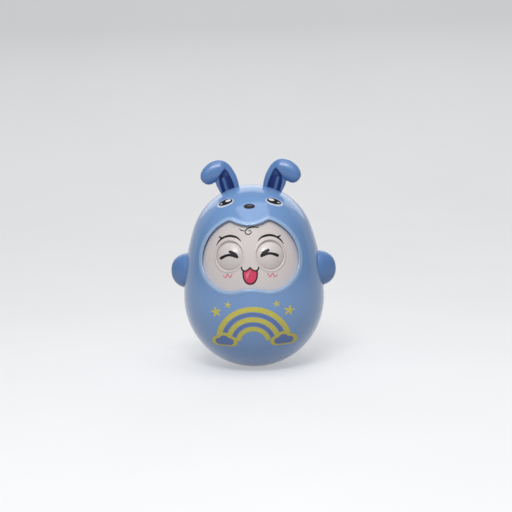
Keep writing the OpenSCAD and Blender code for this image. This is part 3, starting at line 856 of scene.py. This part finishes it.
def arm(side, hand, steps=47, cols=112, peg_cols=64):
    base = POCKET_FLOOR + ARM_PLAY
    turn = full_turn(cols)
    rings = []
    for u in np.sin(np.linspace(0, pi / 2, steps + 1)[:-1]):
        height = ARM_R * (1 - u ** ARM_BLUNTNESS) ** (1 / ARM_BLUNTNESS)
        flat = 1 - ARM_FLATTENING * fade(u, 0, 1)
        x = side * (base + (ARM_TIP - base) * u)
        rings.append(as_points(x, height * flat * np.cos(turn), ARM_Z + height * np.sin(turn)))
    points = np.concatenate(rings + [[[side * ARM_TIP, 0, ARM_Z]]])
    faces = loop_faces(len(rings), cols)
    faces.append(list(range(cols)))
    tip = len(points) - 1
    last = tip - cols
    faces += [(last + k, last + (k + 1) % cols, tip) for k in range(cols)]
    start = base + PEG_ROOT
    flange = POCKET_FLOOR - WALL - ARM_PLAY
    end = flange - FLANGE_T
    profile = (
        (start, PEG_R), (flange, PEG_R), (flange, FLANGE_R),
        (end, FLANGE_R), (end, PEG_BORE_R), (start, PEG_BORE_R),
    )
    peg = lathe_x([(side * x, r) for x, r in profile], 0, ARM_Z, peg_cols)
    points, faces = together((points, faces), peg)
    make(f"arm_{hand}_skin", points, faces, EAR_BLUE, f"{hand}_arm", "ear_blue", f"arm_{hand}")


# Ears

# The right ear's outline in x, z: its inner and its outer edge, from the root to the tip
EAR_INNER = (
    (9.6, 124.0), (8.8, 127.3), (8.6, 129.8), (9.3, 133.4), (11.2, 138.6), (14.7, 144.2), (18.4, 147.2),
    (22.1, 148.1), (26.4, 147.4), (30.4, 145.3), (33.4, 142.4), (35.2, 139.2), (35.6, 136.0),
)
EAR_OUTER = (
    (20.6, 122.6), (22.3, 125.6), (23.7, 128.2), (24.6, 130.2), (25.0, 131.6), (25.2, 132.1),
    (25.6, 132.2), (26.4, 131.8), (27.6, 131.2), (29.4, 130.8), (31.6, 131.1), (33.8, 132.6), (35.2, 134.6),
)
# Half the thickness along the ear, and the rows each way over which it is evened out
EAR_DEPTH = ((0, 4.3), (0.25, 4.6), (0.5, 4.5), (0.7, 4.9), (0.85, 4.9), (0.94, 3.9), (1, 1.2))
EAR_EVEN = 12
# Lean to the front. A fade is a start and a length: of the lean along the ear, of the front round it
EAR_LEAN = 1.0
EAR_LEAN_FADE = (0.45, 0.35)
EAR_FRONT_FADE = (0.05, 0.25)
# Outline of the hollow on the front, anticlockwise from its foot, its depth and its sides
EAR_HOLLOW = (
    (10.4, 123.6), (20.0, 122.0), (21.2, 126.2), (22.2, 129.8), (22.7, 133.2), (22.3, 136.2),
    (20.4, 139.8), (18.3, 141.8), (16.2, 140.4), (14.3, 137.0), (12.5, 133.2), (11.3, 129.2),
)
HOLLOW_DEPTH = 3.0
HOLLOW_FADE = (-0.5, 2.2)
# The soft ridge in the hollow: a spot on its middle, its lean, width, height and ends
RIDGE_SPOT = (18.1, 130)
RIDGE_LEAN = 0.28
RIDGE_W = 1.3
RIDGE_H = 1.3
RIDGE_SIDE_FADE = (0.3, 1.0)
RIDGE_TOP_FADE = (133.5, 3)
# Where the flap folds over the stem: a spot on the crease, and the way across it
FOLD = (18.0, 141.0)
FOLD_WAY = (0.779, 0.627)
# The flap's rise and how it runs out, and the crease's width, which grows above the spot
FLAP_H = 1.1
CREASE_W = 1.8
CREASE_GROWTH = 9
CREASE_FADE = (-0.5, 5)
CREASE_BEFORE = 1 / 6
FLAP_LOSS = 0.6
FLAP_FADE = (3, 8)
# Dark navy in the hollow, part paint and part painted shade: its edge, and how much the ridge and the top
# of the hollow thin it, as less shade falls there
PAINT_AND_SHADE_FADE = (-0.2, 1.6)
PAINT_AND_SHADE_RIDGE_LOSS = 0.7
PAINT_AND_SHADE_TOP_LOSS = 0.5
PAINT_AND_SHADE_TOP_FADE = (135, 6)


def ear(side, hand, rows=220, cols=160):
    inner = smooth_curve(EAR_INNER, rows)
    outer = smooth_curve(EAR_OUTER, rows)
    along = np.linspace(0, 1, rows)
    depth = np.interp(along, *zip(*EAR_DEPTH))
    span = 2 * EAR_EVEN + 1
    depth = np.convolve(np.pad(depth, EAR_EVEN, mode="edge"), np.full(span, 1 / span), "valid")
    turn = full_turn(cols)
    middle = (inner + outer) / 2
    half = (outer - inner) / 2
    x = middle[:, :1] + half[:, :1] * np.cos(turn)
    z = middle[:, 1:] + half[:, 1:] * np.cos(turn)
    y = -depth[:, None] * np.sin(turn) - EAR_LEAN * fade(along[:, None], *EAR_LEAN_FADE)
    front = fade(np.sin(turn), *EAR_FRONT_FADE)
    inside = outline_depth(x, z, closed_curve(EAR_HOLLOW, count=90))
    hollow = fade(inside, *HOLLOW_FADE) * front
    ridge_x = RIDGE_SPOT[0] + (z - RIDGE_SPOT[1]) * RIDGE_LEAN
    ridge = np.exp(-((x - ridge_x) / RIDGE_W) ** 2) * front
    ridge = ridge * fade(inside, *RIDGE_SIDE_FADE) * (1 - fade(z, *RIDGE_TOP_FADE))
    past_fold = (x - FOLD[0]) * FOLD_WAY[0] + (z - FOLD[1]) * FOLD_WAY[1]
    above = (z - FOLD[1]) * FOLD_WAY[0] - (x - FOLD[0]) * FOLD_WAY[1]
    crease = CREASE_W + CREASE_GROWTH * fade(above, *CREASE_FADE)
    flap = fade(past_fold, -crease * CREASE_BEFORE, crease) * front
    flap = flap * (1 - FLAP_LOSS * fade(past_fold, *FLAP_FADE))
    y = y + HOLLOW_DEPTH * hollow * (1 - flap) - RIDGE_H * ridge - FLAP_H * flap
    points = as_points(side * x, y, z).reshape(-1, 3)
    faces = capped_faces(rows, cols)
    piece = make(f"ear_{hand}_skin", points, faces, EAR_PAINT_AND_SHADE, "body", "ear_blue", f"ear_{hand}")
    # Paint with painted shade in the hollow, lighter on the ridge and at the top where less shade falls
    paint_and_shade = fade(inside, *PAINT_AND_SHADE_FADE) * front * (1 - PAINT_AND_SHADE_RIDGE_LOSS * ridge)
    mark_points(piece, "hollow", paint_and_shade * (1 - PAINT_AND_SHADE_TOP_LOSS * fade(z, *PAINT_AND_SHADE_TOP_FADE)))


# Prints: thin closed pieces of ink that follow a surface

# How far ink stands out of a surface, how far its edge goes in, and the step between layers
INK = 0.05
INK_ROOT = 0.12
INK_LAYER = 0.01
STROKE_LEAST = 1e-4
BLOB_MIDDLE = 0.04


def stroke(points, widths, count=60, across=7):
    """A tapering brush stroke through points, as a grid of (u, v)."""
    line = smooth_curve(points, count)
    along = np.linspace(0, 1, count)
    width = np.interp(along, np.linspace(0, 1, len(widths)), widths) / 2
    length = np.linalg.norm(np.diff(line, axis=0), axis=1).sum()
    tip = np.minimum(along, 1 - along) * length
    rounded = np.sqrt(np.maximum(width ** 2 - (width - tip) ** 2, STROKE_LEAST))
    width = np.where(tip < width, rounded, width)
    slope = np.gradient(line, axis=0)
    slope /= np.linalg.norm(slope, axis=1, keepdims=True)
    side = as_points(-slope[:, 1], slope[:, 0])
    spots = np.linspace(-1, 1, across)
    return line[:, None, :] + side[:, None, :] * (width[:, None] * spots)[..., None]


def blob(outline, rings):
    """A filled outline, as rings of (u, v) from its middle out."""
    middle = outline.mean(0)
    return np.stack([middle + (outline - middle) * t for t in np.linspace(BLOB_MIDDLE, 1, rings)])


def oval(width, height, x, z, count=64, rings=8):
    a = full_turn(count)
    return blob(as_points(x + width / 2 * np.cos(a), z + height / 2 * np.sin(a)), rings)


def ink_grid(grid, place, layers=0):
    """A stroke's grid as a closed sheet of ink, over other layers."""
    rows, cols = grid.shape[:2]
    u, v = grid.reshape(-1, 2).T
    top = place(u, v, INK + layers * INK_LAYER)
    low = place(u, v, -INK_ROOT)
    count = len(u)
    faces = []
    for a, b, c, d in loop_faces(rows, cols, closed_cols=False):
        faces += [(a, b, c, d), (count + a, count + d, count + c, count + b)]
    index = np.arange(count).reshape(rows, cols)
    rim = np.concatenate([index[0], index[1:, -1], index[-1, -2::-1], index[-2:0:-1, 0]]).tolist()
    for a, b in zip(rim, rim[1:] + rim[:1]):
        faces.append((b, a, count + a, count + b))
    return np.concatenate([top, low]), faces


def ink_rings(rings, place, layers=0):
    """A blob's rings as a closed sheet of ink, over other layers."""
    count, cols = rings.shape[:2]
    top = place(*rings.reshape(-1, 2).T, INK + layers * INK_LAYER)
    low = place(*rings[-1].T, -INK_ROOT)
    return np.concatenate([top, low]), capped_faces(count + 1, cols)


def print_piece(name, finish, parts, slot="shell_blue", body="body"):
    make(name, *together(*parts), finish, body, slot)


def on_ball(side):
    eye_x, eye_y, eye_z = EYE * [side, 1, 1]

    def place(x, z, lift):
        away = (x - eye_x) ** 2 + (z - eye_z) ** 2
        return as_points(x, eye_y - np.sqrt((EYE_R + lift) ** 2 - away), z)
    return place


def on_hood(x, z, turn, mirror=1):
    """Places a print on the crown about a spot, turned by an angle."""
    spot = on_egg(x, z)
    normal = spot - [0, 0, CROWN_Z]
    normal /= np.linalg.norm(normal)
    level = np.cross([0, 0, 1], normal)
    level /= np.linalg.norm(level)
    up = np.cross(normal, level)
    u_way = level * cos(turn) + up * sin(turn)
    v_way = -level * sin(turn) + up * cos(turn)

    def place(u, v, lift):
        points = spot + np.multiply.outer(u, u_way) + np.multiply.outer(v, v_way)
        return egg_cast(points * [mirror, 1, 1] - HUB, -lift)
    return place


# Squints on the eyeballs, from the inner tip outwards: the lower stroke and the flick over it
SQUINTS = {
    LEFT: (
        ((-7.7, 84.1), (-10.7, 85.6), (-14.1, 86.0), (-17.4, 85.0), (-20.7, 83.0)),
        ((-7.9, 84.5), (-10.9, 87.1), (-14.3, 88.5)),
    ),
    RIGHT: (
        ((7.4, 84.5), (10.3, 86.1), (13.7, 86.6), (17.1, 85.8), (19.9, 84.2)),
        ((7.6, 84.9), (10.4, 87.6), (13.7, 89.1)),
    ),
}
SQUINT_WIDTHS = (1.3, 2.3, 1.8, 1.6, 1.9, 1.9)
FLICK_WIDTHS = (1.2, 2.4, 2.0, 1.7)


def squints():
    for side, (lower, flick) in SQUINTS.items():
        place = on_ball(side)
        parts = [ink_grid(stroke(lower, SQUINT_WIDTHS), place)]
        parts.append(ink_grid(stroke(flick, FLICK_WIDTHS), place, layers=2))
        print_piece(f"squint_{HAND[side]}", BLACK_INK, parts, "eye_white", "eyes")


# Strokes on the face: points in x, z, widths, steps, and layers of ink beneath
BROW = ((
    (23.3, 91.6), (21.5, 94.4), (19.5, 96.3), (16.8, 97.8), (13.2, 98.5), (9.3, 97.8), (7.3, 96.6),
    (5.7, 94.8),
), (0.3, 0.85, 1.1, 1.3, 1.5, 1.5, 1.1, 0.4), 80, 0)
LASH = (((18.3, 96.7), (19.8, 97.0), (21.4, 97.9)), (1.2, 1.2, 0.6), 24, 2)
TONGUE_SHINES = (
    (((0.0, 75.2), (-1.1, 72.7), (-2.6, 69.7)), (0.3, 0.5, 0.25), 24, 3),
    (((-1.6, 73.9), (-2.2, 72.6), (-2.9, 71.2)), (0.3, 0.5, 0.25), 24, 3),
)
TONGUE_EDGE = ((
    (-4.6, 75.2), (-4.6, 72.6), (-4.2, 70.0), (-3.0, 67.7), (-1.4, 66.5), (0.2, 66.2), (1.8, 66.5),
    (3.4, 67.7), (4.6, 70.0), (5.0, 72.6), (5.0, 75.2),
), (1.0, 1.05, 1.0), 90, 3)
MOUTH = ((
    (-5.7, 78.1), (-5.6, 76.6), (-4.7, 75.4), (-3.3, 75.1), (-1.7, 75.6), (-0.5, 76.7), (0.2, 77.3),
    (0.9, 76.7), (2.1, 75.6), (3.7, 75.1), (5.1, 75.4), (6.0, 76.6), (6.1, 78.1),
), (1.0, 1.0, 0.9, 0.9, 0.9, 1.0, 1.0), 120, 5)
BLUSH = (
    ((12.0, 73.3), (13.7, 70.6), (15.5, 72.7), (17.0, 70.4), (18.9, 72.1)),
    (0.45, 0.7, 0.7, 0.7, 0.45), 70, 0,
)
CURL = ((
    (6.6, 103.7), (3.2, 104.3), (-0.6, 103.6), (-2.8, 101.6), (-2.0, 99.8), (0.2, 99.6), (1.3, 101.0),
    (0.3, 102.2), (-0.8, 101.6),
), (0.3, 0.75, 0.85, 0.8, 0.75, 0.7, 0.6, 0.4), 120, 0)
CURL_TAIL = (((-7.0, 103.4), (-5.4, 102.2), (-3.2, 101.9)), (0.3, 0.7, 0.35), 30, 2)
# The tongue's outline
TONGUE = (
    (-4.5, 75.0), (-3.3, 75.1), (-1.7, 75.6), (-0.5, 76.7), (0.2, 77.2), (0.9, 76.7), (2.1, 75.6),
    (3.7, 75.1), (4.9, 75.0), (5.0, 72.6), (4.6, 70.0), (3.4, 67.7), (1.8, 66.5), (0.2, 66.2),
    (-1.4, 66.5), (-3.0, 67.7), (-4.2, 70.0), (-4.6, 72.6),
)


def face_strokes(name, finish, strokes, sides=(RIGHT,)):
    """A piece of strokes on the face, on the right as given or mirrored."""
    parts = []
    for side in sides:
        for points, widths, steps, layers in strokes:
            grid = stroke(np.multiply(points, (side, 1)), widths, steps)
            parts.append(ink_grid(grid, on_plate, layers))
    print_piece(name, finish, parts, "face_white")


def face_prints():
    face_strokes("brows", BLACK_INK, (BROW, LASH), (RIGHT, LEFT))
    tongue = ink_rings(blob(closed_curve(TONGUE, count=120), rings=14), on_plate)
    print_piece("tongue", TONGUE_INK, [tongue], "face_white")
    face_strokes("tongue_shine", SHINE_INK, TONGUE_SHINES)
    face_strokes("tongue_edge", MAROON_INK, [TONGUE_EDGE])
    face_strokes("mouth", BLACK_INK, [MOUTH])
    face_strokes("blush", PINK_INK, [BLUSH], (RIGHT, LEFT))
    face_strokes("hair_curl", BLACK_INK, (CURL, CURL_TAIL))


# Ovals on the hood: width, height, and place from the middle of the nose or the eye
NOSE_Z = 117.9
NOSE = (7.9, 4.5, 0, 0)
NOSE_SHINE = (3.6, 1.1, 0.2, 0.7)
HOOD_EYE = (16.9, 120.2)
HOOD_EYE_TURN = radians(-24)
HOOD_EYE_RIM = (13.2, 8.2, 0.25, -0.6)
HOOD_EYE_BALL = (10.8, 6.1, 0, 0)
HOOD_EYE_GLINTS = ((4.3, 2.3, -1.9, 0.95), (1.7, 1.1, 3.2, -0.5))


def hood_prints():
    nose = on_hood(0, NOSE_Z, 0)
    rims, balls, glints = [], [], []
    for mirror in (LEFT, RIGHT):
        place = on_hood(*HOOD_EYE, HOOD_EYE_TURN, mirror)
        rims.append(ink_rings(oval(*HOOD_EYE_RIM), place))
        balls.append(ink_rings(oval(*HOOD_EYE_BALL), place, layers=3))
        glints += [ink_rings(oval(*glint), place, layers=6) for glint in HOOD_EYE_GLINTS]
    print_piece("hood_nose", BLACK_INK, [ink_rings(oval(*NOSE), nose)])
    print_piece("hood_nose_shine", GREY_INK, [ink_rings(oval(*NOSE_SHINE), nose, layers=3)])
    print_piece("hood_eye_rims", PALE_INK, rims)
    print_piece("hood_eyes", BLACK_INK, balls)
    print_piece("hood_eye_glints", WHITE_INK, glints)


# Belly print: a rainbow between two clouds, with stars over it

BOW_X = 1.0
BOW_Z = 24.5
# Radius and width of each band
BOW_BANDS = ((24.6, 3.6), (17.4, 3.4), (10.6, 3.2))
BOW_LINES = ((21.0, 2.6), (14.0, 2.4))
BOW_ENDS = (8, 172)
# Stars: distance from the bow's middle, height, radius, turn and rings; their points and waves
STARS = ((25.2, 46.8, 3.6, -12, 10), (16.8, 52.2, 2.3, 10, 8))
STAR_POINTS = 5
STAR_WAVES = (0.68, 0.32, 0.06)
# Clouds: puffs (x, z, radius) over a flat base, and the size, rise and layers of each colour
CLOUD_X = 20.5
CLOUD_PUFFS = ((-4.6, 0.6, 3.2), (0.2, 2.2, 4.4), (5.0, 0.8, 3.4))
CLOUD_BASE = 2.6
CLOUD_BASE_HALF = 4.8
CLOUD_LEAST_SLOPE = 0.05
CLOUD_YELLOW = (1.15, 0, 4)
CLOUD_BLUE = (0.8, 0.1, 7)


def bow(radius, width):
    line = arc((BOW_X, BOW_Z), radius, *BOW_ENDS, steps=12)
    return ink_grid(stroke(line, (width, width), count=110, across=9), on_egg)


def round_blob(hand, x, z, a, reach, rings, layers=0):
    """A blob on the belly, beside the bow's middle, with a reach at each angle."""
    outline = as_points(BOW_X + hand * x + reach * np.cos(a), z + reach * np.sin(a))
    return ink_rings(blob(outline, rings), on_egg, layers)


def star(hand, x, z, r, turn, rings, count=100):
    a = full_turn(count)
    reach = r * sum(share * np.cos(STAR_POINTS * k * a) for k, share in enumerate(STAR_WAVES))
    return round_blob(hand, x, z, a + radians(90 + hand * turn), reach, rings)


def cloud(hand, size, rise, layers, count=140, rings=10):
    a = full_turn(count)
    reach = np.zeros(a.shape)
    for px, pz, r in CLOUD_PUFFS:
        along = px * np.cos(a) + pz * np.sin(a)
        room = r * r - (px * px + pz * pz - along * along)
        reach = np.maximum(reach, np.where(room > 0, along + root(room), 0))
    base = CLOUD_BASE / np.maximum(-np.sin(a), CLOUD_LEAST_SLOPE)
    flat = (np.sin(a) < 0) & (base * np.abs(np.cos(a)) < CLOUD_BASE_HALF)
    reach = size * np.where(flat, base, np.minimum(reach, base))
    return round_blob(hand, CLOUD_X, BOW_Z + rise, a, reach, rings, layers)


def belly_prints():
    yellow = [bow(*band) for band in BOW_BANDS]
    blue = [bow(*band) for band in BOW_LINES]
    for hand in (LEFT, RIGHT):
        yellow.append(cloud(hand, *CLOUD_YELLOW))
        blue.append(cloud(hand, *CLOUD_BLUE))
        yellow += [star(hand, *values) for values in STARS]
    print_piece("belly_bow_yellow", YELLOW_INK, yellow)
    print_piece("belly_bow_blue", BAND_INK, blue)


front_shell()
rear_shell()
face_plate()
for side, hand in HAND.items():
    eyeball(side, hand)
    arm(side, hand)
    ear(side, hand)
squints()
face_prints()
hood_prints()
belly_prints()

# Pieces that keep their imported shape
FINISHES = {
    "inner_plastic": INNER_PLASTIC, "steel": STEEL, "chime_steel": CHIME_STEEL, "iron": IRON,
}
for part in frame["record"]["subparts"]:
    finish = FINISHES.get(part["material_slot"])
    if finish:
        mesh = frame["nodes"][part["node"]].data
        mesh.materials.clear()
        mesh.materials.append(finish)


# Stage, in metres: a pale floor that sweeps up behind, and soft lights

FLOOR_FRONT = -2.5
FLOOR_BACK = 1.6
FLOOR_HALF = 3.0
SWEEP_R = 0.7
WALL_TOP = 2.3
FLOOR_ROUGHNESS = 0.85
FLOOR_SPECULAR = 0.2
FLOOR_SCALE = 6
FLOOR_TONES = ((0.52, 0.52, 0.525, 1), (0.545, 0.545, 0.55, 1))
PAPER_GLOW = (0.97, 0.98, 1.0, 1)
PAPER_STRENGTH = 0.42
WORLD_COLOUR = (0.95, 0.97, 1.0, 1)
WORLD_STRENGTH = 0.18
# Softboxes: place, aim, width, height and power
SOFTBOXES = {
    "softbox_top": ((0.05, -0.22, 0.87), (0, -0.06, 0.1), 0.68, 0.58, 2.4),
    "softbox_front": ((-0.08, -0.95, 0.99), (0, 0, 0.07), 0.5, 0.36, 9.5),
    "softbox_rear": ((0, 1.12, 0.78), (0, 0, 0.07), 2.0, 0.9, 5.0),
}
# Camera: angles, distance, focal length in pixels, and a target that is seen at a pixel
ELEVATION = radians(8)
AZIMUTH = radians(3)
ROLL = radians(1.6)
DISTANCE = 1.05
FOCAL = 1470
IMAGE = 512
SENSOR = 36
TARGET = Vector((0, 0, 71.75 * MM))
TARGET_PIXEL = (253.3, 266.0)


def pale_floor():
    """A matt floor that looks paler than the light it throws back."""
    mat, tree, shader = material("pale_floor", FLOOR_ROUGHNESS, Specular_IOR_Level=FLOOR_SPECULAR)
    feed(tree, shader, Base_Color=two_tone(tree, noise(tree, FLOOR_SCALE), *FLOOR_TONES))
    paper = add_node(tree, "Emission", Color=PAPER_GLOW, Strength=PAPER_STRENGTH)
    lit = add_node(tree, "AddShader", (0, shader.outputs["BSDF"]), (1, paper.outputs["Emission"]))
    seen = add_node(tree, "LightPath")
    either = seen.outputs["Is Camera Ray"]
    for ray in ("Is Glossy Ray", "Is Transmission Ray"):
        most = add_node(tree, "Math", (0, either), (1, seen.outputs[ray]))
        most.operation = "MAXIMUM"
        either = most.outputs["Value"]
    mix_shaders(tree, either, shader.outputs["BSDF"], lit.outputs["Shader"])
    return mat


def backdrop(steps=23):
    start = FLOOR_BACK - SWEEP_R
    line = [(FLOOR_FRONT, 0.0), (start, 0.0)]
    for a in np.linspace(0, pi / 2, steps + 1)[1:]:
        line.append((start + SWEEP_R * sin(a), SWEEP_R - SWEEP_R * cos(a)))
    line.append((FLOOR_BACK, WALL_TOP))
    points = [(x, y, z) for y, z in line for x in (-FLOOR_HALF, FLOOR_HALF)]
    faces = [(2 * i, 2 * i + 1, 2 * i + 3, 2 * i + 2) for i in range(len(line) - 1)]
    mesh = bpy.data.meshes.new("floor")
    mesh.from_pydata(points, [], faces)
    obj = add_object("floor", mesh)
    smooth_shading(obj)
    mesh.materials.append(pale_floor())


def camera():
    """Nearly level, a touch from the right, with the toy leaning a little to the left."""
    back = Vector((sin(AZIMUTH) * cos(ELEVATION), -cos(AZIMUTH) * cos(ELEVATION), sin(ELEVATION)))
    level = Vector((cos(AZIMUTH), sin(AZIMUTH), 0))
    upright = back.cross(level)
    right = level * cos(ROLL) - upright * sin(ROLL)
    up = level * sin(ROLL) + upright * cos(ROLL)
    data = bpy.data.cameras.new("camera")
    data.sensor_width = SENSOR
    data.lens = FOCAL / IMAGE * SENSOR
    obj = add_object("camera", data)
    move_x = (TARGET_PIXEL[0] - IMAGE / 2) / FOCAL * DISTANCE
    move_y = (IMAGE / 2 - TARGET_PIXEL[1]) / FOCAL * DISTANCE
    place = TARGET + back * DISTANCE - right * move_x - up * move_y
    turn = Matrix((right, up, back)).transposed()
    obj.matrix_world = Matrix.Translation(place) @ turn.to_4x4()
    bpy.context.scene.camera = obj


def studio():
    world = bpy.data.worlds.new("studio")
    bpy.context.scene.world = world
    world.use_nodes = True
    tree = world.node_tree
    feed(tree, tree.nodes["Background"], Color=WORLD_COLOUR, Strength=WORLD_STRENGTH)
    for name, (place, aim, width, height, power) in SOFTBOXES.items():
        light = bpy.data.lights.new(name, "AREA")
        light.shape = "RECTANGLE"
        light.size = width
        light.size_y = height
        light.energy = power
        obj = add_object(name, light)
        obj.location = place
        obj.rotation_euler = (Vector(aim) - Vector(place)).to_track_quat("-Z", "Y").to_euler()
        obj.visible_camera = False
    bpy.context.scene.view_settings.view_transform = "Standard"


backdrop()
camera()
studio()
